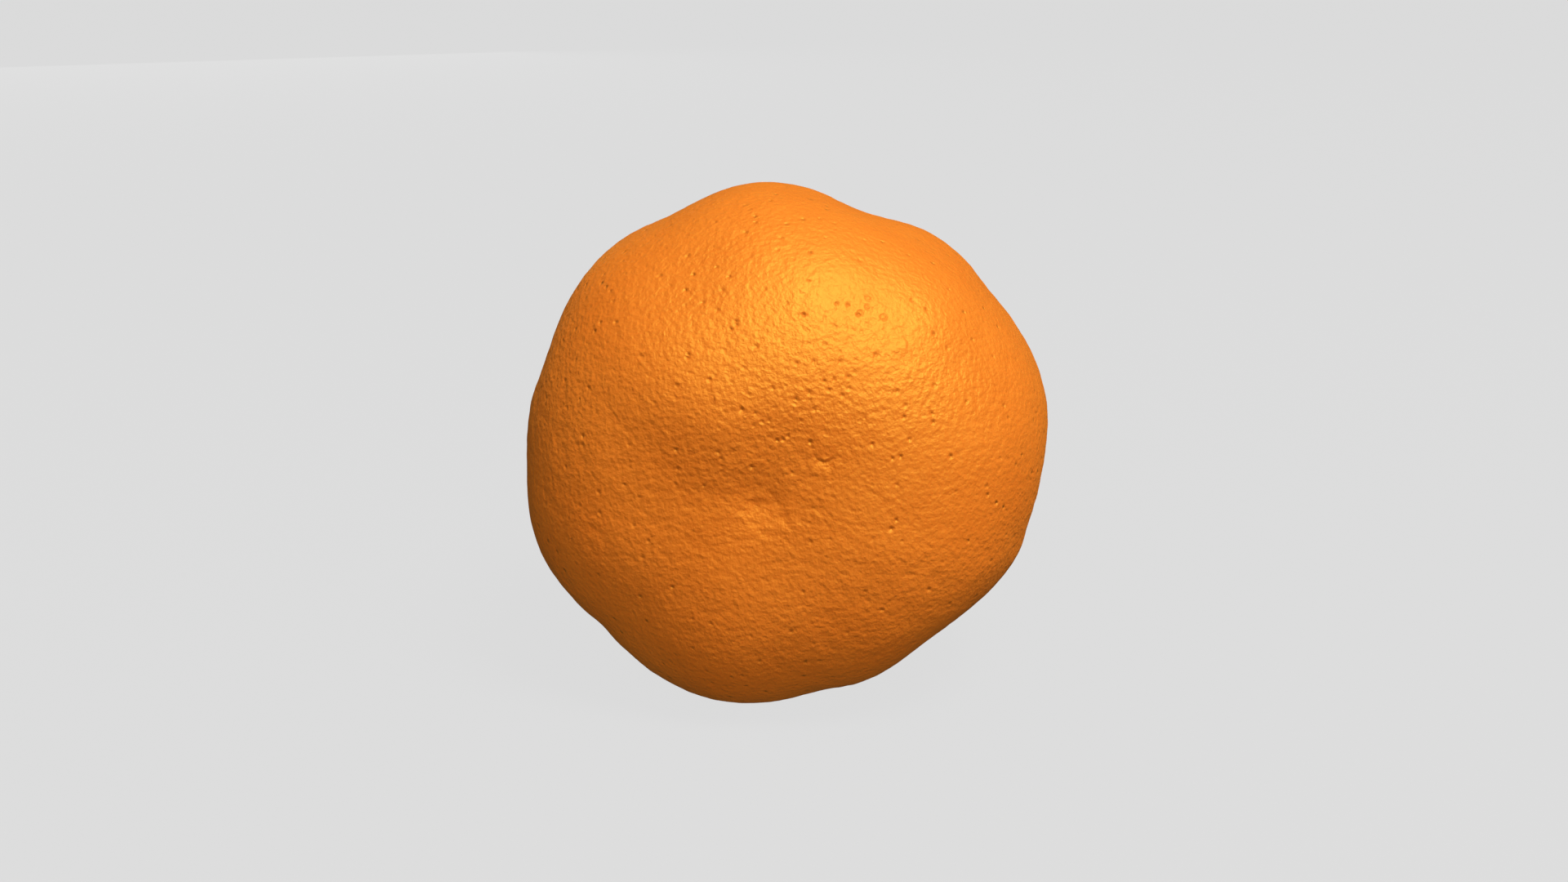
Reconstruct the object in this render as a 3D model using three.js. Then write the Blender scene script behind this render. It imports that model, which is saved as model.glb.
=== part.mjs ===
// A mandarin lying on its side, in millimetres, +Z up, at rest on the plane z = 0.
// Its core runs along Y, with the blossom end toward -Y and the stem end toward +Y.
// A bearing is an angle round the core in degrees, from +X toward +Z.
// A polar angle is measured in degrees from the blossom end: 90 is the equator, 180 the stem end.
import * as THREE from "three";
import { mergeVertices } from "three/addons/utils/BufferGeometryUtils.js";

// The body: an oblate round whose profile is slightly boxier than an ellipse.
const EQUATOR_RADIUS = 31;
const CORE_HALF_LENGTH = 26.4;
const PROFILE_POWER = 2.45;

// Relief between the ends is strongest along a belt round the fruit. The belt leans toward the
// stem end over the top and toward the blossom end underneath.
// The segments press outward as lobes, which are broad.
const LOBE_BELT = { polar: 86, lean: 10, spread: 37 };
const LOBES = [
  { bearing: 13, width: 19, rise: 1.8 },
  { bearing: 46, width: 13, rise: 0.6 },
  { bearing: 98, width: 15, rise: 1.2 },
  { bearing: 135, width: 16, rise: 1.3 },
  { bearing: 172, width: 12, rise: 0.3 },
  { bearing: 202, width: 18, rise: 1.5 },
  { bearing: 252, width: 20, rise: 1.4 },
  { bearing: 340, width: 14, rise: 0.7 },
];

// The furrows between segments are narrower and fade out sooner toward the ends.
const FURROW_BELT = { polar: 90, lean: 15, spread: 20 };
const FURROWS = [
  { bearing: 38, width: 6, depth: 0.4 },
  { bearing: 72, width: 10, depth: 1.2 },
  { bearing: 118, width: 6, depth: 0.3 },
  { bearing: 157, width: 7, depth: 0.6 },
  { bearing: 181, width: 4, depth: 0.2 },
  { bearing: 225, width: 4, depth: 0.4 },
  { bearing: 282, width: 9, depth: 0.8 },
  { bearing: 310, width: 16, depth: 2.0 },
  { bearing: 346, width: 4, depth: 0.4 },
];

// Soft swells round the shoulder of the blossom end, with one dip between two of them.
const SWELLS = [
  { bearing: 113, polar: 28, radius: 14, rise: 1.05 },
  { bearing: 134, polar: 38, radius: 13, rise: 0.8 },
  { bearing: 75, polar: 30, radius: 14, rise: 0.7 },
  { bearing: 32, polar: 38, radius: 12, rise: 0.3 },
  { bearing: 44, polar: 62, radius: 9, rise: 0.35 },
  { bearing: 76, polar: 56, radius: 11, rise: 0.5 },
  { bearing: 108, polar: 56, radius: 12, rise: -0.5 },
  { bearing: 262, polar: 48, radius: 14, rise: 0.5 },
  { bearing: 305, polar: 56, radius: 16, rise: 0.7 },
  { bearing: 338, polar: 50, radius: 18, rise: 0.6 },
];

// The blossom end is a wide shallow basin with a small eye in the middle.
const BASIN = { radius: 30, depth: 1.8 };
const EYE = { radius: 6, depth: 0.2 };

// The stem end is a narrower hollow with short folds running out of it. Each fold drifts by up to
// this many degrees of its own cycle, so that they are not evenly spaced.
const STEM_HOLLOW = { radius: 17, depth: 2.0 };
const STEM_FOLDS = { count: 9, drift: 70, polar: 160, spread: 11, depth: 0.3 };

// The peel is pressed flat by this much where the fruit lies on a table.
const REST_PRESS = 1.2;

// Each of the 20 faces of the starting icosahedron is cut into (detail + 1) squared triangles.
const MESH_DETAIL = 19;

const PEEL = { color: 0xe87a1f, roughness: 0.42, metalness: 0 };

// 1 at the centre, falling smoothly to nothing as the offset passes the width.
function bell(offset, width) {
  return Math.exp(-((offset / width) ** 2));
}

// The shortest signed angle from one bearing to another, in degrees.
function bearingOffset(from, to) {
  return THREE.MathUtils.euclideanModulo(to - from + 180, 360) - 180;
}

// The unit direction of a bearing and a polar angle.
function directionOf(bearing, polar) {
  const round = THREE.MathUtils.degToRad(bearing);
  const down = THREE.MathUtils.degToRad(polar);
  return new THREE.Vector3(
    Math.sin(down) * Math.cos(round),
    -Math.cos(down),
    Math.sin(down) * Math.sin(round),
  );
}

// Radius of the plain oblate body at a polar angle.
function bodyRadius(polar) {
  const angle = THREE.MathUtils.degToRad(polar);
  const across = Math.sin(angle) / EQUATOR_RADIUS;
  const along = Math.abs(Math.cos(angle)) / CORE_HALF_LENGTH;
  return (across ** PROFILE_POWER + along ** PROFILE_POWER) ** (-1 / PROFILE_POWER);
}

// How strongly a belt of relief acts at a place, with none at either end of the core.
function beltStrength(belt, bearing, polar) {
  const nearEnd = Math.min(1, 1.4 * Math.sin(THREE.MathUtils.degToRad(polar)));
  const middle = belt.polar + belt.lean * Math.sin(THREE.MathUtils.degToRad(bearing));
  return bell(polar - middle, belt.spread) * nearEnd;
}

function segmentRelief(bearing, polar) {
  const lobeStrength = beltStrength(LOBE_BELT, bearing, polar);
  const furrowStrength = beltStrength(FURROW_BELT, bearing, polar);
  let height = 0;
  for (const lobe of LOBES) {
    height += lobeStrength * lobe.rise * bell(bearingOffset(lobe.bearing, bearing), lobe.width);
  }
  for (const furrow of FURROWS) {
    const offset = bearingOffset(furrow.bearing, bearing);
    height -= furrowStrength * furrow.depth * bell(offset, furrow.width);
  }
  return height;
}

function swellRelief(direction) {
  let height = 0;
  for (const swell of SWELLS) {
    const away = direction.angleTo(directionOf(swell.bearing, swell.polar));
    height += swell.rise * bell(THREE.MathUtils.radToDeg(away), swell.radius);
  }
  return height;
}

function blossomRelief(polar) {
  return -BASIN.depth * bell(polar, BASIN.radius) - EYE.depth * bell(polar, EYE.radius);
}

function stemRelief(bearing, polar) {
  const round = THREE.MathUtils.degToRad(bearing);
  const drift = THREE.MathUtils.degToRad(STEM_FOLDS.drift) * Math.sin(2 * round);
  const fold = 0.5 + 0.5 * Math.cos(STEM_FOLDS.count * round + drift);
  const folds = STEM_FOLDS.depth * fold * bell(polar - STEM_FOLDS.polar, STEM_FOLDS.spread);
  return -STEM_HOLLOW.depth * bell(180 - polar, STEM_HOLLOW.radius) - folds;
}

// Distance from the middle of the fruit to its skin along a unit direction.
function skinRadius(direction) {
  const polar = THREE.MathUtils.radToDeg(Math.acos(THREE.MathUtils.clamp(-direction.y, -1, 1)));
  const bearing = THREE.MathUtils.radToDeg(Math.atan2(direction.z, direction.x));
  return (
    bodyRadius(polar) +
    segmentRelief(bearing, polar) +
    swellRelief(direction) +
    blossomRelief(polar) +
    stemRelief(bearing, polar)
  );
}

// A closed ball of even triangles that share their corners.
function evenBall() {
  const ball = new THREE.IcosahedronGeometry(1, MESH_DETAIL);
  ball.deleteAttribute("normal");
  ball.deleteAttribute("uv");
  return mergeVertices(ball, 1e-5);
}

// Presses everything below the rest plane up onto it and sets that plane at z = 0.
function pressFlat(geometry) {
  const places = geometry.getAttribute("position");
  geometry.computeBoundingBox();
  const restPlane = geometry.boundingBox.min.z + REST_PRESS;
  for (let i = 0; i < places.count; i++) {
    places.setZ(i, Math.max(places.getZ(i), restPlane) - restPlane);
  }
}

function mandarinGeometry() {
  const geometry = evenBall();
  const places = geometry.getAttribute("position");
  const direction = new THREE.Vector3();
  for (let i = 0; i < places.count; i++) {
    direction.fromBufferAttribute(places, i).normalize();
    const radius = skinRadius(direction);
    places.setXYZ(i, direction.x * radius, direction.y * radius, direction.z * radius);
  }
  pressFlat(geometry);
  geometry.computeVertexNormals();
  return geometry;
}

const fruit = new THREE.Group();
fruit.name = "fruit";

const mandarin = new THREE.Mesh(mandarinGeometry(), new THREE.MeshStandardMaterial(PEEL));
mandarin.name = "mandarin";
fruit.add(mandarin);

export default fruit;
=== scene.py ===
"""A whole mandarin on a pale floor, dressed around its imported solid.

The fruit lies on its side. Its core runs along Y, the blossom end faces -Y and the stem end +Y.
A bearing is an angle round the core from +X toward +Z, and a polar angle is measured from the
blossom end. Relief is given in millimetres and the scene is in metres.
"""

import logging
import math
from dataclasses import dataclass, field
from enum import Enum
from typing import Protocol

import bmesh
import bpy
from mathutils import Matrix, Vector, noise


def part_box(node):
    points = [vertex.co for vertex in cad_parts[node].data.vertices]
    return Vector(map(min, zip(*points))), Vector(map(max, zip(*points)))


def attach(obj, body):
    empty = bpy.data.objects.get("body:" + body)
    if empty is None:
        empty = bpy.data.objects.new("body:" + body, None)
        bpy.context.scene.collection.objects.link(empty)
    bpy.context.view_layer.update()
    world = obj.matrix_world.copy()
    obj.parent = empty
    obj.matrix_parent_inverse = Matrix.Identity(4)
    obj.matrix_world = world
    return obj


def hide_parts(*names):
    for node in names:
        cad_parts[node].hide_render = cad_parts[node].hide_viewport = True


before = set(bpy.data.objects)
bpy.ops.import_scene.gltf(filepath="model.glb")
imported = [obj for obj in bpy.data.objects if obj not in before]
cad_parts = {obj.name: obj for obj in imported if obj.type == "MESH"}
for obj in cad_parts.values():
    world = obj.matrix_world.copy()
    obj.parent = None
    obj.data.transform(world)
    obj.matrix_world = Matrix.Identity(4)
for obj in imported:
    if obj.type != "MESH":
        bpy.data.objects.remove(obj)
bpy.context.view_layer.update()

log = logging.getLogger("mandarin")

MM = 0.001
Triple = tuple[float, float, float]

# Two directions from the middle of the core lie on the same side when their cosine passes this.
SAME_SIDE = 0.8

# The camera looks this far above the middle of the core.
AIM_RISE = 0.3 * MM


class Wave(Enum):
    """How a band of soft noise swings about the skin."""

    EVEN = "even"
    DIMPLED = "dimpled"


def bell(offset: float, width: float) -> float:
    """Falls smoothly from 1 at no offset toward 0.

    Args:
        offset: Distance from the middle.
        width: Distance at which the value has fallen to about a third.

    Returns:
        The strength, from 0 to 1.
    """
    return math.exp(-((offset / width) ** 2))


def ramp(value: float, low: float, high: float) -> float:
    """Rises smoothly from 0 to 1 between two values.

    Args:
        value: The value to place on the ramp.
        low: Where the ramp leaves 0.
        high: Where the ramp reaches 1.

    Returns:
        The eased share, from 0 to 1.
    """
    share = min(1.0, max(0.0, (value - low) / (high - low)))
    return share * share * (3 - 2 * share)


def direction_of(bearing: float, polar: float) -> Vector:
    """Unit direction from the middle of the core.

    Args:
        bearing: Angle round the core, in degrees.
        polar: Angle from the blossom end, in degrees.

    Returns:
        The direction as a unit vector.
    """
    round_core, down = math.radians(bearing), math.radians(polar)
    return Vector((
        math.sin(down) * math.cos(round_core),
        -math.cos(down),
        math.sin(down) * math.sin(round_core),
    ))


@dataclass(frozen=True)
class SkinPlace:
    """One point of the skin, from the middle of the core, in millimetres."""

    point: Vector
    direction: Vector


@dataclass(frozen=True)
class SkinSpot:
    """A place that a local mark is drawn round, with its own across and up."""

    bearing: float
    polar: float

    @property
    def out(self) -> Vector:
        """Direction of the spot from the middle of the core."""
        return direction_of(self.bearing, self.polar)

    def local(self, place: SkinPlace) -> tuple[float, float] | None:
        """Where a point of the skin lies relative to this spot.

        Args:
            place: The point of the skin.

        Returns:
            Millimetres across and up, or None on the far side of the fruit.
        """
        out = self.out
        if place.direction.dot(out) < SAME_SIDE:
            return None
        up = (Vector((0, 0, 1)) - out * out.z).normalized()
        return place.point.dot(up.cross(out)), place.point.dot(up)


@dataclass(frozen=True)
class SkinPatch:
    """A soft-edged oval patch of the peel, with its half sizes in millimetres."""

    spot: SkinSpot
    across: float
    up: float

    def strength(self, place: SkinPlace) -> float:
        """How far a place belongs to the patch.

        Args:
            place: The point of the skin.

        Returns:
            The strength, from 0 to 1.
        """
        local = self.spot.local(place)
        if local is None:
            return 0.0
        return bell(math.hypot(local[0] / self.across, local[1] / self.up), 1.0)


PIT_CROWD = SkinPatch(SkinSpot(bearing=76, polar=27), across=12.0, up=8.0)
CALM_PATCHES = (
    SkinPatch(SkinSpot(bearing=70, polar=54), across=17.0, up=11.0),
    SkinPatch(SkinSpot(bearing=15, polar=42), across=11.0, up=9.0),
)


class Relief(Protocol):
    """Anything that raises or lowers the skin."""

    def height(self, place: SkinPlace) -> float:
        """Millimetres that the skin stands out at a place."""


@dataclass(frozen=True)
class SoftWaves:
    """The broad unevenness of a peel that has grown round its segments."""

    wavelength: float
    rise: float
    seed: float
    wave: Wave = Wave.EVEN
    seed_shear: float = 0.3
    seed_lift: float = 7.1
    dimple_crest: float = 0.35
    dimple_steep: float = 1.6
    dimple_gentle: float = 0.4

    def height(self, place: SkinPlace) -> float:
        """Millimetres that the waves lift the skin.

        Args:
            place: The point of the skin.

        Returns:
            The height, in millimetres.
        """
        shift = Vector((self.seed, self.seed_shear * self.seed, self.seed_lift))
        value = noise.noise(place.point / self.wavelength + shift)
        if self.wave is Wave.DIMPLED:
            slope = self.dimple_steep if value < 0 else self.dimple_gentle
            value = self.dimple_crest - abs(value) * slope
        return self.rise * value


@dataclass(frozen=True)
class SoftSwell:
    """A low round swell of the peel, too slight for the solid."""

    spot: SkinSpot
    radius: float
    rise: float

    def height(self, place: SkinPlace) -> float:
        """Millimetres that the swell lifts the skin."""
        local = self.spot.local(place)
        return self.rise * bell(math.hypot(*local), self.radius) if local else 0.0


@dataclass(frozen=True)
class OilPits:
    """The largest sunken oil glands, crowded on the front shoulder."""

    spacing: float = 1.7
    radius: float = 0.42
    depth: float = 0.09
    share: float = 0.2
    crowd_share: float = 0.4
    plain_depth: float = 0.6
    crowd_depth: float = 0.6
    least_size: float = 0.7
    size_spread: float = 0.6
    pick_scale: float = 3.7
    pick_shift: Triple = (11.3, 5.2, 8.8)
    size_scale: float = 5.1

    def height(self, place: SkinPlace) -> float:
        """Millimetres that a gland pulls the skin in.

        Args:
            place: The point of the skin.

        Returns:
            The height, in millimetres.
        """
        distances, points = noise.voronoi(place.point / self.spacing)
        pick = noise.cell(points[0] * self.pick_scale + Vector(self.pick_shift))
        crowding = PIT_CROWD.strength(place)
        if pick > self.share + self.crowd_share * crowding:
            return 0.0
        size = self.least_size + self.size_spread * noise.cell(points[0] * self.size_scale)
        reach = distances[0] * self.spacing / (self.radius * size)
        strength = self.plain_depth + self.crowd_depth * crowding
        return -self.depth * strength * size * math.exp(-(reach ** 2))


@dataclass(frozen=True)
class BlossomPucker:
    """The puckered eye at the blossom end, a soft pocket with slanting streaks below it."""

    across: float = 0.8
    up: float = -0.7
    eye_radius: float = 2.7
    eye_depth: float = 0.44
    lip_radius: float = 1.15
    lip_rise: float = 0.16
    lip_width: float = 0.3
    lip_shift: float = 0.9
    lip_start: float = 0.2
    lip_full: float = 0.9
    streak_slant: float = 25.0
    streak_rise: float = 0.22
    streak_reach: float = 2.0
    streak_length: float = 1.9
    streak_width: float = 0.7
    streak_seed: float = 4.2
    streak_least: float = 0.35
    streak_start: float = -0.5
    streak_full: float = 1.5
    cap_cosine: float = 0.9

    def height(self, place: SkinPlace) -> float:
        """Millimetres that the pucker moves the skin.

        Args:
            place: The point of the skin.

        Returns:
            The height, in millimetres.
        """
        if place.direction.y > -self.cap_cosine:
            return 0.0
        across, up = place.point.x - self.across, place.point.z - self.up
        reach = math.hypot(across, up)
        return (
            -self.eye_depth * bell(reach, self.eye_radius)
            + self.lip(across + self.lip_shift, up)
            + self.streaks(across, up) * bell(reach - self.streak_reach, self.streak_reach)
        )

    def lip(self, across: float, up: float) -> float:
        """A thin arched ridge over the eye."""
        arch = bell(math.hypot(across, up) - self.lip_radius, self.lip_width)
        return self.lip_rise * arch * ramp(up, self.lip_start, self.lip_full)

    def streaks(self, across: float, up: float) -> float:
        """Slanting wrinkles, strongest on the wall below the eye.

        Args:
            across: Millimetres to the right of the eye.
            up: Millimetres above the eye.

        Returns:
            The height, in millimetres.
        """
        slant = math.radians(self.streak_slant)
        along = math.cos(slant) * across - math.sin(slant) * up
        over = math.sin(slant) * across + math.cos(slant) * up
        wrinkle = noise.noise(
            Vector((along / self.streak_length, self.streak_seed, over / self.streak_width))
        )
        below = ramp(-up, self.streak_start, self.streak_full)
        return self.streak_rise * wrinkle * (self.streak_least + (1 - self.streak_least) * below)


@dataclass(frozen=True)
class HealedNick:
    """A small smile-shaped healed nick, a groove with a raised lip under it."""

    spot: SkinSpot = SkinSpot(bearing=31, polar=20)
    radius: float = 1.35
    depth: float = 0.2
    width: float = 0.38
    lip: float = 0.14
    lip_offset: float = 0.55
    lip_width: float = 0.34
    centre_up: float = 0.9
    half_turn: float = 0.85
    extent: float = 4.0

    def height(self, place: SkinPlace) -> float:
        """Millimetres that the nick moves the skin.

        Args:
            place: The point of the skin.

        Returns:
            The height, in millimetres.
        """
        local = self.spot.local(place)
        if local is None or math.hypot(*local) > self.extent:
            return 0.0
        across, up = local
        reach = math.hypot(across, up - self.centre_up)
        span = bell(math.atan2(across, self.centre_up - up), self.half_turn)
        groove = self.depth * bell(reach - self.radius, self.width)
        lip = self.lip * bell(reach - self.radius - self.lip_offset, self.lip_width)
        return span * (lip - groove)


@dataclass(frozen=True)
class Pimple:
    """A small lump of the peel with a crease under it."""

    spot: SkinSpot
    radius: float
    rise: float
    extent: float = 5.0
    crease_drop: float = 1.5
    crease_squeeze: float = 0.7
    crease_size: float = 0.7
    crease_depth: float = 0.7

    def height(self, place: SkinPlace) -> float:
        """Millimetres that the lump lifts the skin.

        Args:
            place: The point of the skin.

        Returns:
            The height, in millimetres.
        """
        local = self.spot.local(place)
        if local is None or math.hypot(*local) > self.extent * self.radius:
            return 0.0
        across, up = local
        lump = bell(math.hypot(across, up), self.radius)
        below = math.hypot(across * self.crease_squeeze, up + self.crease_drop * self.radius)
        crease = bell(below, self.crease_size * self.radius)
        return self.rise * (lump - self.crease_depth * crease)


@dataclass(frozen=True)
class StemScar:
    """The round scar where the stalk broke off, in the hollow of the stem end."""

    radius: float = 2.4
    sink: float = 0.55
    edge_inside: float = 0.5
    edge_outside: float = 0.1
    ragged: float = 0.35
    ragged_scale: float = 1.3
    rim: float = 0.38
    rim_offset: float = 0.25
    rim_width: float = 0.45
    star_rise: float = 0.3
    star_points: int = 9
    star_drift: float = 1.3
    star_start: float = 0.4
    star_full: float = 1.2
    fold_reach: float = 6.5
    fold_spread: float = 0.7
    fold_rise: float = 0.34
    fold_turn: float = 3.2
    fold_drift: float = 0.12
    scar_cosine: float = 0.9
    hollow_cosine: float = 0.8

    def share(self, place: SkinPlace) -> float:
        """How far a place belongs to the scar.

        Args:
            place: The point of the skin.

        Returns:
            The share, from 0 to 1.
        """
        if place.direction.y < self.scar_cosine:
            return 0.0
        reach = math.hypot(place.point.x, place.point.z)
        ragged = self.ragged * noise.noise(place.point * self.ragged_scale)
        inside, outside = self.radius - self.edge_inside, self.radius + self.edge_outside
        return 1.0 - ramp(reach + ragged, inside, outside)

    def height(self, place: SkinPlace) -> float:
        """Millimetres that the scar and the creases round it move the skin.

        Args:
            place: The point of the skin.

        Returns:
            The height, in millimetres.
        """
        if place.direction.y < self.hollow_cosine:
            return 0.0
        reach = math.hypot(place.point.x, place.point.z)
        turn = math.atan2(place.point.z, place.point.x)
        folds = self.fold_rise * self.crease(turn, reach)
        star = self.star_rise * self.star(turn) * self.share(place)
        return (
            -self.sink * self.share(place)
            + self.rim * bell(reach - self.radius - self.rim_offset, self.rim_width)
            + folds * bell(reach - self.fold_reach, self.fold_spread * self.fold_reach)
            + star * ramp(reach, self.star_start, self.star_full)
        )

    def crease(self, turn: float, reach: float) -> float:
        """Uneven folds that run out from the scar, from -1 to 1."""
        across, up = self.fold_turn * math.cos(turn), self.fold_turn * math.sin(turn)
        return noise.noise(Vector((across, up, self.fold_drift * reach)))

    def star(self, turn: float) -> float:
        """Unevenly spaced rays on the scar, from 0 to 1."""
        return 0.5 + 0.5 * math.cos(self.star_points * turn + self.star_drift * math.sin(2 * turn))


class Bench:
    """Puts nodes into one node tree and wires them."""

    def __init__(self, tree: bpy.types.NodeTree) -> None:
        """Keeps the tree to work on."""
        self.tree = tree

    def kept(self, name: str) -> bpy.types.Node:
        """A node that the tree already has."""
        return self.tree.nodes[name]

    def add(self, kind: str, **settings: object) -> bpy.types.Node:
        """Adds a node.

        Args:
            kind: The node's type.
            settings: Properties to set on it.

        Returns:
            The new node.
        """
        node = self.tree.nodes.new(kind)
        for name, value in settings.items():
            setattr(node, name, value)
        return node

    def attribute(self, name: str) -> bpy.types.NodeSocket:
        """Reads a number that the mesh keeps at each vertex."""
        return self.add("ShaderNodeAttribute", attribute_name=name).outputs["Fac"]

    def join(self, source: object, target: bpy.types.NodeSocket) -> None:
        """Links a socket to an input, or sets the input to a plain value.

        Args:
            source: A socket, a number or a colour.
            target: The input.
        """
        if isinstance(source, bpy.types.NodeSocket):
            self.tree.links.new(source, target)
        elif isinstance(source, tuple) and len(source) == 3 and target.type == "RGBA":
            target.default_value = (*source, 1.0)
        else:
            target.default_value = source

    def group(self, tree: bpy.types.NodeTree, **sources: object) -> bpy.types.Node:
        """Places a node group and feeds its named inputs.

        Args:
            tree: The group.
            sources: What feeds each input, by input name.

        Returns:
            The placed group.
        """
        node = self.add("ShaderNodeGroup", node_tree=tree)
        for name, source in sources.items():
            self.join(source, node.inputs[name])
        return node

    def math(self, operation: str, *sources: object) -> bpy.types.NodeSocket:
        """A Math node over one or more sources.

        Args:
            operation: The node's operation.
            sources: Sockets or numbers, in the order of the node's inputs.

        Returns:
            The result.
        """
        node = self.add("ShaderNodeMath", operation=operation)
        for source, target in zip(sources, node.inputs):
            self.join(source, target)
        return node.outputs[0]

    def sum(self, first: object, second: object) -> bpy.types.NodeSocket:
        """Adds two sources."""
        return self.math("ADD", first, second)

    def remap(
        self, source: object, low: float, high: float, to_low: float, to_high: float
    ) -> bpy.types.NodeSocket:
        """A clamped Map Range node.

        Args:
            source: What to place on the range.
            low: Where the range starts.
            high: Where the range ends.
            to_low: The result at its start.
            to_high: The result at its end.

        Returns:
            The result.
        """
        node = self.add("ShaderNodeMapRange")
        for value, name in (
            (source, "Value"), (low, "From Min"), (high, "From Max"),
            (to_low, "To Min"), (to_high, "To Max"),
        ):
            self.join(value, node.inputs[name])
        return node.outputs["Result"]

    def mix(self, factor: object, first: object, second: object) -> bpy.types.NodeSocket:
        """Mixes two colours.

        Args:
            factor: The second colour's share.
            first: The first colour.
            second: The second colour.

        Returns:
            The mixed colour.
        """
        node = self.add("ShaderNodeMix", data_type="RGBA")
        self.join(factor, node.inputs[0])
        self.join(first, node.inputs[6])
        self.join(second, node.inputs[7])
        return node.outputs[2]

    def noise(self, place: object, scale: float, detail: float = 2.0) -> bpy.types.NodeSocket:
        """Soft noise on a place.

        Args:
            place: Where to read the noise.
            scale: Cells a metre.
            detail: How many finer layers it has.

        Returns:
            The noise, from 0 to 1.
        """
        node = self.add("ShaderNodeTexNoise")
        self.join(place, node.inputs["Vector"])
        node.inputs["Scale"].default_value = scale
        node.inputs["Detail"].default_value = detail
        return node.outputs["Fac"]

    def cells(self, place: object, scale: float) -> bpy.types.Node:
        """Voronoi cells on a place.

        Args:
            place: Where to read the cells.
            scale: Cells a metre.

        Returns:
            The Voronoi node.
        """
        node = self.add("ShaderNodeTexVoronoi")
        self.join(place, node.inputs["Vector"])
        node.inputs["Scale"].default_value = scale
        return node


def new_group(
    name: str, inputs: dict[str, str], outputs: dict[str, str]
) -> tuple[bpy.types.NodeTree, Bench, bpy.types.Node, bpy.types.Node]:
    """Starts a shader node group with named sockets.

    Args:
        name: The group's name.
        inputs: Socket types by input name.
        outputs: Socket types by output name.

    Returns:
        The group, a bench on it, its input node and its output node.
    """
    tree = bpy.data.node_groups.new(name, "ShaderNodeTree")
    for label, kind in inputs.items():
        tree.interface.new_socket(name=label, in_out="INPUT", socket_type=kind)
    for label, kind in outputs.items():
        tree.interface.new_socket(name=label, in_out="OUTPUT", socket_type=kind)
    bench = Bench(tree)
    return tree, bench, bench.add("NodeGroupInput"), bench.add("NodeGroupOutput")


class MarkShape(Enum):
    """Whether a groove runs all the way round or only along the lower half."""

    RING = 0.0
    SMILE = 1.0


@dataclass(frozen=True)
class GrooveMark:
    """A curved groove too fine for the mesh, with its sizes in millimetres."""

    spot: SkinSpot
    radius: float
    width: float = 0.2
    depth: float = 0.085
    shape: MarkShape = MarkShape.RING


# A smile fades out between these heights, as shares of its radius from its centre.
SMILE_FULL = -0.6
SMILE_GONE = -0.1

GROOVE_MARKS = (
    GrooveMark(SkinSpot(bearing=62, polar=54), 0.34),
    GrooveMark(SkinSpot(bearing=61, polar=52), 0.28),
    GrooveMark(SkinSpot(bearing=56, polar=52), 0.34),
    GrooveMark(SkinSpot(bearing=62, polar=50), 0.26),
    GrooveMark(SkinSpot(bearing=37, polar=21), 1.1, 0.36, 0.14, MarkShape.SMILE),
)


@dataclass(frozen=True)
class PeelGrain:
    """The finest grain, with scales in cells a metre and heights in millimetres."""

    leather_scale: float = 1500.0
    leather_detail: float = 3.0
    leather_rise: float = 0.075
    dome_scale: float = 1300.0
    dome_rise: float = 0.014
    plain_strength: float = 0.86
    crowded_strength: float = 1.14
    calm_strength: float = 0.85
    gland_scale: float = 760.0
    plain_cutoff: float = 0.66
    crowded_cutoff: float = 0.15
    gland_reach: float = 0.38
    pit_depth: float = 0.3
    pit_tint: float = 0.5

    def group(self) -> bpy.types.NodeTree:
        """Builds the leathery grain and the fine open pits, as a height and a pit mask.

        Returns:
            The node group.
        """
        tree, bench, entry, leave = new_group(
            "peel_grain",
            {"Place": "NodeSocketVector", "Crowding": "NodeSocketFloat", "Calm": "NodeSocketFloat"},
            {"Height": "NodeSocketFloat", "Pits": "NodeSocketFloat"},
        )
        place, crowding = entry.outputs["Place"], entry.outputs["Crowding"]
        coarseness = bench.math(
            "MULTIPLY",
            bench.remap(crowding, 0.0, 1.0, self.plain_strength, self.crowded_strength),
            bench.remap(entry.outputs["Calm"], 0.0, 1.0, 1.0, self.calm_strength),
        )
        fine = bench.math("MULTIPLY", self.leather(bench, place), coarseness)
        pits = self.pits(bench, place, crowding)
        relief = bench.sum(fine, bench.math("MULTIPLY", pits, -self.pit_depth))
        bench.join(relief, leave.inputs["Height"])
        bench.join(bench.math("MULTIPLY", pits, self.pit_tint), leave.inputs["Pits"])
        return tree

    def leather(self, bench: Bench, place: bpy.types.NodeSocket) -> bpy.types.NodeSocket:
        """Fine creased noise over low round cobbles.

        Args:
            bench: The group's bench.
            place: Object coordinates.

        Returns:
            The height, in millimetres.
        """
        creases = bench.noise(place, self.leather_scale, self.leather_detail)
        leather = bench.remap(creases, 0.25, 0.75, -self.leather_rise, self.leather_rise)
        cobbles = bench.cells(place, self.dome_scale).outputs["Distance"]
        return bench.sum(leather, bench.remap(cobbles, 0.1, 0.7, self.dome_rise, -self.dome_rise))

    def pits(
        self, bench: Bench, place: bpy.types.NodeSocket, crowding: bpy.types.NodeSocket
    ) -> bpy.types.NodeSocket:
        """Open glands, more of them where they crowd.

        Args:
            bench: The group's bench.
            place: Object coordinates.
            crowding: How crowded the glands are at a place.

        Returns:
            How far a place lies in a pit, from 0 to 1.
        """
        glands = bench.cells(place, self.gland_scale)
        cutoff = bench.remap(crowding, 0.0, 1.0, self.plain_cutoff, self.crowded_cutoff)
        chosen = bench.math("GREATER_THAN", glands.outputs["Color"], cutoff)
        reach = bench.remap(glands.outputs["Distance"], 0.0, self.gland_reach, 1.0, 0.0)
        return bench.math("MULTIPLY", chosen, bench.math("MULTIPLY", reach, reach))


# Patches of riper and paler peel, in cells a metre.
MOTTLE_SCALE = 90.0


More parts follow.
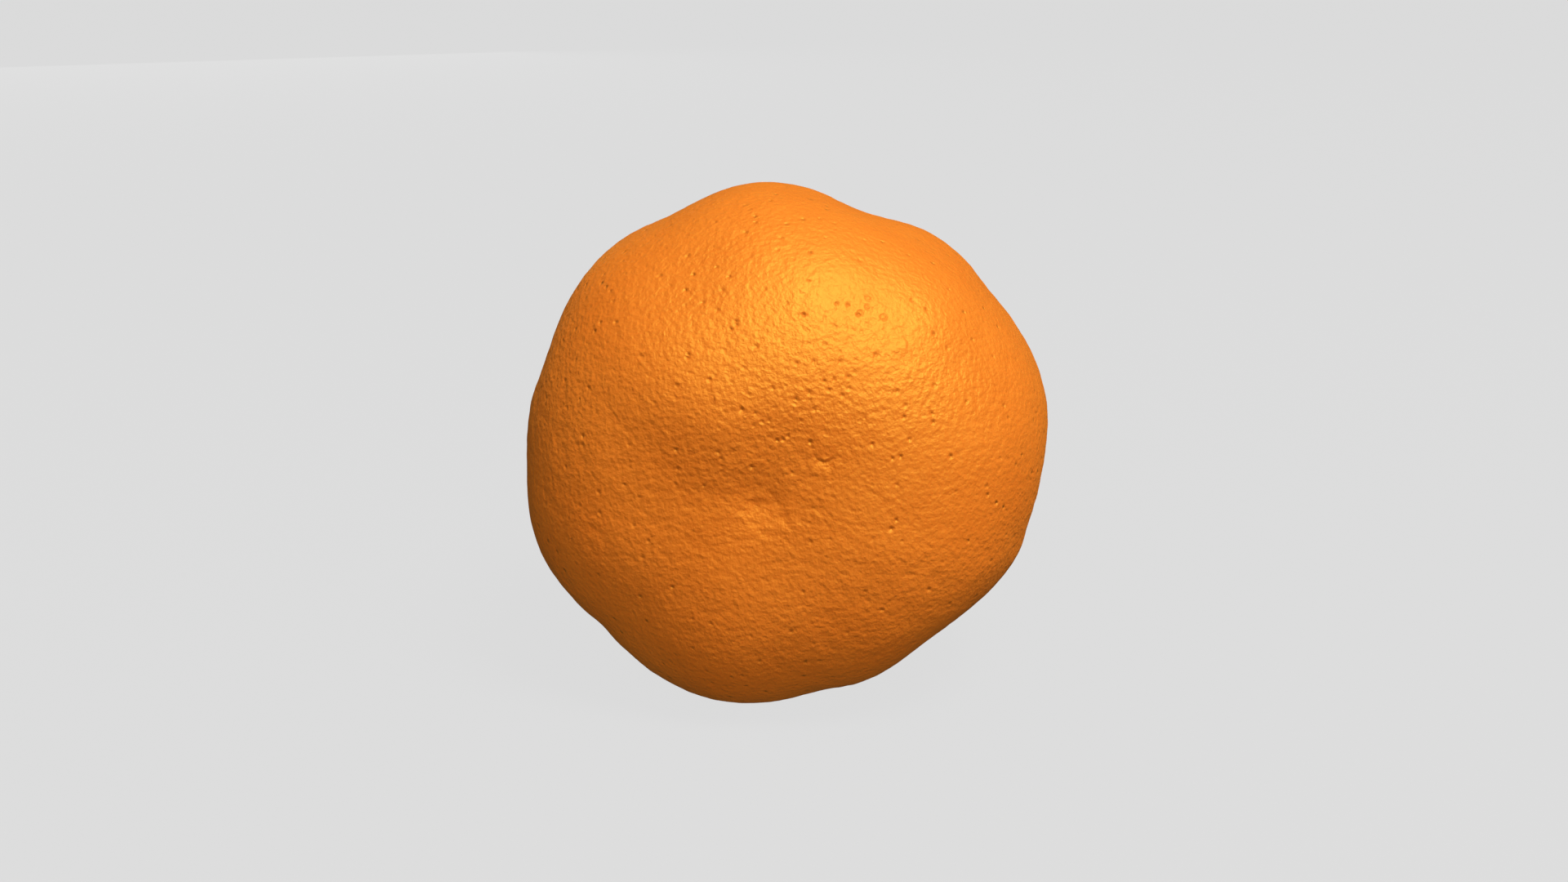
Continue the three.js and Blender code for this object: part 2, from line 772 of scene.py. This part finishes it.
def peel_mottle_group() -> bpy.types.NodeTree:
    """Faint broad patches of riper and paler peel.

    Returns:
        The node group.
    """
    tree, bench, entry, leave = new_group(
        "peel_mottle", {"Place": "NodeSocketVector"}, {"Patches": "NodeSocketFloat"}
    )
    patches = bench.noise(entry.outputs["Place"], MOTTLE_SCALE, 3.0)
    bench.join(bench.remap(patches, 0.3, 0.7, 0.0, 1.0), leave.inputs["Patches"])
    return tree


def groove_mark_group() -> bpy.types.NodeTree:
    """One curved groove round a centre, as a height in millimetres.

    Returns:
        The node group.
    """
    tree, bench, entry, leave = new_group(
        "groove_mark",
        {
            "Place": "NodeSocketVector",
            "Centre": "NodeSocketVector",
            "Radius": "NodeSocketFloat",
            "Width": "NodeSocketFloat",
            "Depth": "NodeSocketFloat",
            "Smile": "NodeSocketFloat",
        },
        {"Height": "NodeSocketFloat"},
    )
    away = bench.add("ShaderNodeVectorMath", operation="SUBTRACT")
    bench.join(entry.outputs["Place"], away.inputs[0])
    bench.join(entry.outputs["Centre"], away.inputs[1])
    length = bench.add("ShaderNodeVectorMath", operation="LENGTH")
    bench.join(away.outputs["Vector"], length.inputs[0])
    off = bench.math("SUBTRACT", length.outputs["Value"], entry.outputs["Radius"])
    share = bench.math("DIVIDE", bench.math("ABSOLUTE", off), entry.outputs["Width"])
    groove = bench.remap(share, 0.0, 1.0, 1.0, 0.0)
    parts = bench.add("ShaderNodeSeparateXYZ")
    bench.join(away.outputs["Vector"], parts.inputs[0])
    lift = bench.math("DIVIDE", parts.outputs["Z"], entry.outputs["Radius"])
    above = bench.remap(lift, SMILE_FULL, SMILE_GONE, 0.0, 1.0)
    kept = bench.math("SUBTRACT", 1.0, bench.math("MULTIPLY", above, entry.outputs["Smile"]))
    depth = bench.math("MULTIPLY", groove, bench.math("MULTIPLY", kept, entry.outputs["Depth"]))
    bench.join(bench.math("MULTIPLY", depth, -1.0), leave.inputs["Height"])
    return tree


def groove_marks(bench: Bench, place: bpy.types.NodeSocket) -> bpy.types.NodeSocket:
    """Adds up the heights of all the groove marks.

    Args:
        bench: The material's bench.
        place: Object coordinates.

    Returns:
        The summed height.
    """
    group = groove_mark_group()
    total: object = 0.0
    for mark in GROOVE_MARKS:
        node = bench.group(
            group,
            Place=place,
            Centre=tuple(FRUIT.skin_point(mark.spot)),
            Radius=mark.radius * MM,
            Width=mark.width * MM,
            Depth=mark.depth,
            Smile=mark.shape.value,
        )
        total = bench.sum(total, node.outputs["Height"])
    return total


@dataclass(frozen=True)
class PeelFinish:
    """Waxy orange peel: its colours, its gloss and its finest relief."""

    flesh_side: Triple = (0.93, 0.178, 0.011)
    sunny: Triple = (0.96, 0.198, 0.014)
    gland: Triple = (0.84, 0.144, 0.008)
    scar_pale: Triple = (0.62, 0.27, 0.09)
    scar_dark: Triple = (0.3, 0.11, 0.035)
    cork_scale: float = 1100.0
    gloss_tint: Triple = (1.0, 0.88, 0.12)
    roughness: float = 0.63
    roughness_swing: float = 0.03
    diffuse_roughness: float = 0.4
    ior: float = 2.2
    gloss_level: float = 1.0
    glow_weight: float = 0.06
    glow_radius: Triple = (1.0, 0.35, 0.08)
    glow_depth: float = 1.2

    def material(self) -> bpy.types.Material:
        """Builds the peel's material.

        Returns:
            The new material.
        """
        material = bpy.data.materials.new("peel")
        material.use_nodes = True
        bench = Bench(material.node_tree)
        skin = bench.kept("Principled BSDF")
        place = bench.add("ShaderNodeTexCoord").outputs["Object"]
        grain = bench.group(
            PeelGrain().group(),
            Place=place,
            Crowding=bench.attribute("pitting"),
            Calm=bench.attribute("calm"),
        )
        patches = bench.group(peel_mottle_group(), Place=place).outputs["Patches"]
        self.paint(bench, skin, place, grain, patches)
        self.emboss(bench, skin, place, grain)
        low, high = self.roughness - self.roughness_swing, self.roughness + self.roughness_swing
        bench.join(bench.remap(patches, 0.0, 1.0, low, high), skin.inputs["Roughness"])
        for name, value in (
            ("Diffuse Roughness", self.diffuse_roughness),
            ("IOR", self.ior),
            ("Specular IOR Level", self.gloss_level),
            ("Specular Tint", (*self.gloss_tint, 1.0)),
            ("Subsurface Weight", self.glow_weight),
            ("Subsurface Radius", self.glow_radius),
            ("Subsurface Scale", self.glow_depth * MM),
        ):
            skin.inputs[name].default_value = value
        return material

    def paint(
        self,
        bench: Bench,
        skin: bpy.types.Node,
        place: bpy.types.NodeSocket,
        grain: bpy.types.Node,
        patches: bpy.types.NodeSocket,
    ) -> None:
        """Wires the peel's colour: mottled ground, darker glands and the corky scar.

        Args:
            bench: The material's bench.
            skin: The shader to colour.
            place: Object coordinates.
            grain: The placed grain group.
            patches: How ripe the peel is at a place.
        """
        ground = bench.mix(patches, self.flesh_side, self.sunny)
        pitted = bench.mix(grain.outputs["Pits"], ground, self.gland)
        corky = bench.remap(bench.noise(place, self.cork_scale, 3.0), 0.35, 0.65, 0.0, 1.0)
        cork = bench.mix(corky, self.scar_dark, self.scar_pale)
        scar = bench.attribute("stem_scar")
        bench.join(bench.mix(scar, pitted, cork), skin.inputs["Base Color"])

    def emboss(
        self,
        bench: Bench,
        skin: bpy.types.Node,
        place: bpy.types.NodeSocket,
        grain: bpy.types.Node,
    ) -> None:
        """Wires the relief that is finer than the mesh, with heights in millimetres.

        Args:
            bench: The material's bench.
            skin: The shader to emboss.
            place: Object coordinates.
            grain: The placed grain group.
        """
        bump = bench.add("ShaderNodeBump")
        bump.inputs["Strength"].default_value = 1.0
        bump.inputs["Distance"].default_value = MM
        relief = bench.sum(grain.outputs["Height"], groove_marks(bench, place))
        bench.join(relief, bump.inputs["Height"])
        bench.join(bump.outputs["Normal"], skin.inputs["Normal"])


@dataclass
class Fruit:
    """The whole mandarin: its skin, its relief and its peel."""

    node: str = "mandarin"
    core_height_share: float = 0.4879
    subdivisions: int = 2
    calm_share: float = 0.3
    spot_edge: float = 0.05
    spot_blend: float = 0.8
    relief: tuple[Relief, ...] = (
        SoftWaves(wavelength=9.0, rise=0.13, seed=3.0),
        SoftWaves(wavelength=4.2, rise=0.07, seed=17.0),
        SoftWaves(wavelength=2.1, rise=0.065, seed=29.0, wave=Wave.DIMPLED),
        SoftWaves(wavelength=1.15, rise=0.044, seed=41.0),
        SoftSwell(SkinSpot(bearing=120, polar=17), radius=5.5, rise=0.6),
        OilPits(),
        BlossomPucker(),
        HealedNick(),
        Pimple(SkinSpot(bearing=47, polar=49), radius=0.85, rise=0.24),
        StemScar(),
    )
    finish: PeelFinish = field(default_factory=PeelFinish)

    @property
    def middle(self) -> Vector:
        """Middle of the core, in metres."""
        low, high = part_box(self.node)
        return Vector((0, 0, low.z + self.core_height_share * (high.z - low.z)))

    def skin_point(self, spot: SkinSpot) -> Vector:
        """Where a ray from the middle of the core meets the CAD skin.

        Args:
            spot: The place to aim at.

        Returns:
            The point on the skin, in metres.
        """
        hit, point, _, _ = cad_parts[self.node].ray_cast(self.middle, spot.out)
        if not hit:
            raise ValueError(f"no skin at bearing {spot.bearing}, polar {spot.polar}")
        return point

    def merged_copy(self) -> bpy.types.Object:
        """Copies the CAD skin with its corners joined, two subdivisions finer.

        Returns:
            The new object, with its modifiers applied.
        """
        bm = bmesh.new()
        bm.from_mesh(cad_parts[self.node].data)
        bmesh.ops.remove_doubles(bm, verts=bm.verts, dist=0.01 * MM)
        coarse = bpy.data.meshes.new("peel_coarse")
        bm.to_mesh(coarse)
        bm.free()
        piece = bpy.data.objects.new("mandarin_peel", coarse)
        bpy.context.scene.collection.objects.link(piece)
        finer = piece.modifiers.new("finer", "SUBSURF")
        finer.levels = finer.render_levels = self.subdivisions
        depsgraph = bpy.context.evaluated_depsgraph_get()
        fine = bpy.data.meshes.new_from_object(piece.evaluated_get(depsgraph))
        piece.modifiers.clear()
        piece.data = fine
        return piece

    def carve(self, mesh: bpy.types.Mesh) -> None:
        """Moves each vertex out or in by the sum of the relief, keeping the rest spot flat.

        Args:
            mesh: The peel's mesh, changed in place.
        """
        middle = self.middle
        scar = next(part for part in self.relief if isinstance(part, StemScar))
        masks = ("stem_scar", "pitting", "calm")
        for name in masks:
            mesh.attributes.new(name, "FLOAT", "POINT")
        stem_scar, pitting, calm = (mesh.attributes[name].data for name in masks)
        normals = [vertex.normal.copy() for vertex in mesh.vertices]
        for vertex, normal in zip(mesh.vertices, normals):
            away = (vertex.co - middle) / MM
            place = SkinPlace(away, away.normalized())
            smooth = max(patch.strength(place) for patch in CALM_PATCHES)
            height = sum(part.height(place) for part in self.relief)
            rise = height * (1.0 - self.calm_share * smooth)
            off_table = ramp(vertex.co.z / MM, self.spot_edge, self.spot_blend)
            vertex.co += normal * (rise * off_table * MM)
            vertex.co.z = max(vertex.co.z, 0.0)
            stem_scar[vertex.index].value = scar.share(place)
            pitting[vertex.index].value = PIT_CROWD.strength(place)
            calm[vertex.index].value = smooth
        mesh.update()

    def build(self) -> bpy.types.Object:
        """Makes the peel and hands the CAD solid over to it.

        Returns:
            The finished piece.
        """
        piece = self.merged_copy()
        self.carve(piece.data)
        piece.data.shade_smooth()
        piece.data.materials.clear()
        piece.data.materials.append(self.finish.material())
        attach(piece, "root")
        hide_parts(self.node)
        return piece


FRUIT = Fruit()


@dataclass(frozen=True)
class FloorFinish:
    """Matt pale studio floor that barely takes a shadow."""

    shade: float = 0.723
    glow_share: float = 0.97
    roughness: float = 0.9

    def material(self) -> bpy.types.Material:
        """Builds the floor's material.

        Returns:
            The new material.
        """
        material = bpy.data.materials.new("pale_floor")
        material.use_nodes = True
        bench = Bench(material.node_tree)
        surface = bench.kept("Principled BSDF")
        surface.inputs["Roughness"].default_value = self.roughness
        surface.inputs["Specular IOR Level"].default_value = 0.0
        lit = self.shade * (1 - self.glow_share)
        surface.inputs["Base Color"].default_value = (lit, lit, lit, 1)
        surface.inputs["Emission Color"].default_value = (1, 1, 1, 1)
        surface.inputs["Emission Strength"].default_value = self.shade * self.glow_share
        return material


@dataclass(frozen=True)
class Lamp:
    """One soft area lamp, placed by its direction from the fruit."""

    name: str
    toward: Triple
    distance: float
    size: float
    watts: float
    glossy: bool = True

    def build(self, target: Vector) -> bpy.types.Object:
        """Hangs the lamp and aims it.

        Args:
            target: The point that the lamp looks at.

        Returns:
            The lamp.
        """
        data = bpy.data.lights.new(self.name, "AREA")
        data.shape = "DISK"
        data.size = self.size
        data.energy = self.watts
        lamp = bpy.data.objects.new(self.name, data)
        way = Vector(self.toward).normalized()
        lamp.location = target + way * self.distance
        lamp.visible_glossy = self.glossy
        lamp.rotation_euler = way.to_track_quat("Z", "Y").to_euler()
        bpy.context.scene.collection.objects.link(lamp)
        return lamp


@dataclass
class Studio:
    """The floor, the lamps, the soft surround and the camera."""

    target: Vector
    azimuth: float = 7.0
    elevation: float = 15.0
    lens: float = 50.0
    distance: float = 0.2703
    floor_size: float = 8.0
    sky: float = 0.17
    ground: float = 0.115
    gloss_share: float = 0.5
    backdrop: float = 0.723
    horizon_blend: float = 0.25
    nearest: float = 0.01
    farthest: float = 20.0
    lamps: tuple[Lamp, ...] = (
        Lamp("key_lamp", (0.356, -0.437, 0.827), distance=0.9, size=0.34, watts=6.7),
        Lamp("fill_lamp", (0.213, -0.911, 0.353), distance=0.9, size=0.5, watts=2.9, glossy=False),
        Lamp("back_lamp", (-0.45, 0.87, 0.15), distance=0.9, size=0.5, watts=1.8, glossy=False),
    )

    def build_floor(self) -> bpy.types.Object:
        """Lays the floor just under the fruit.

        Returns:
            The floor.
        """
        bm = bmesh.new()
        bmesh.ops.create_grid(bm, x_segments=1, y_segments=1, size=self.floor_size / 2)
        mesh = bpy.data.meshes.new("floor")
        bm.to_mesh(mesh)
        bm.free()
        floor = bpy.data.objects.new("floor", mesh)
        bpy.context.scene.collection.objects.link(floor)
        mesh.materials.append(FloorFinish().material())
        floor.visible_diffuse = False
        floor.visible_glossy = False
        floor.visible_shadow = False
        return floor

    def build_surround(self) -> None:
        """Sets a world that is bright above, dim below and plain where it is seen."""
        world = bpy.data.worlds.new("studio")
        bpy.context.scene.world = world
        world.use_nodes = True
        bench = Bench(world.node_tree)
        away = bench.add("ShaderNodeTexCoord").outputs["Generated"]
        parts = bench.add("ShaderNodeSeparateXYZ")
        bench.join(away, parts.inputs[0])
        blend = self.horizon_blend
        glow = bench.remap(parts.outputs["Z"], -blend, blend, self.ground, self.sky)
        rays = bench.add("ShaderNodeLightPath")
        dimmed = bench.math("MULTIPLY", glow, self.gloss_share)
        lighting = bench.mix(rays.outputs["Is Glossy Ray"], glow, dimmed)
        plain = (self.backdrop,) * 3
        background = bench.kept("Background")
        seen = bench.mix(rays.outputs["Is Camera Ray"], lighting, plain)
        bench.join(seen, background.inputs["Color"])

    def build_camera(self) -> bpy.types.Object:
        """Stands the camera in front of the blossom end.

        Returns:
            The camera.
        """
        turn, lift = math.radians(self.azimuth), math.radians(self.elevation)
        back = Vector((
            math.sin(turn) * math.cos(lift),
            -math.cos(turn) * math.cos(lift),
            math.sin(lift),
        ))
        data = bpy.data.cameras.new("camera")
        data.lens = self.lens
        data.clip_start, data.clip_end = self.nearest, self.farthest
        camera = bpy.data.objects.new("camera", data)
        camera.location = self.target + back * self.distance
        camera.rotation_euler = back.to_track_quat("Z", "Y").to_euler()
        bpy.context.scene.collection.objects.link(camera)
        bpy.context.scene.camera = camera
        return camera

    def build(self) -> None:
        """Sets up the whole studio."""
        self.build_floor()
        self.build_surround()
        for lamp in self.lamps:
            lamp.build(self.target)
        self.build_camera()
        bpy.context.scene.view_settings.view_transform = "Standard"


def main() -> None:
    """Builds the mandarin and its studio."""
    logging.basicConfig(level=logging.INFO, format="%(name)s: %(message)s")
    piece = FRUIT.build()
    log.info("%s: %d faces", piece.name, len(piece.data.polygons))
    Studio(target=FRUIT.middle + Vector((0, 0, AIM_RISE))).build()
    log.info("studio ready")


if __name__ == "__main__":
    main()
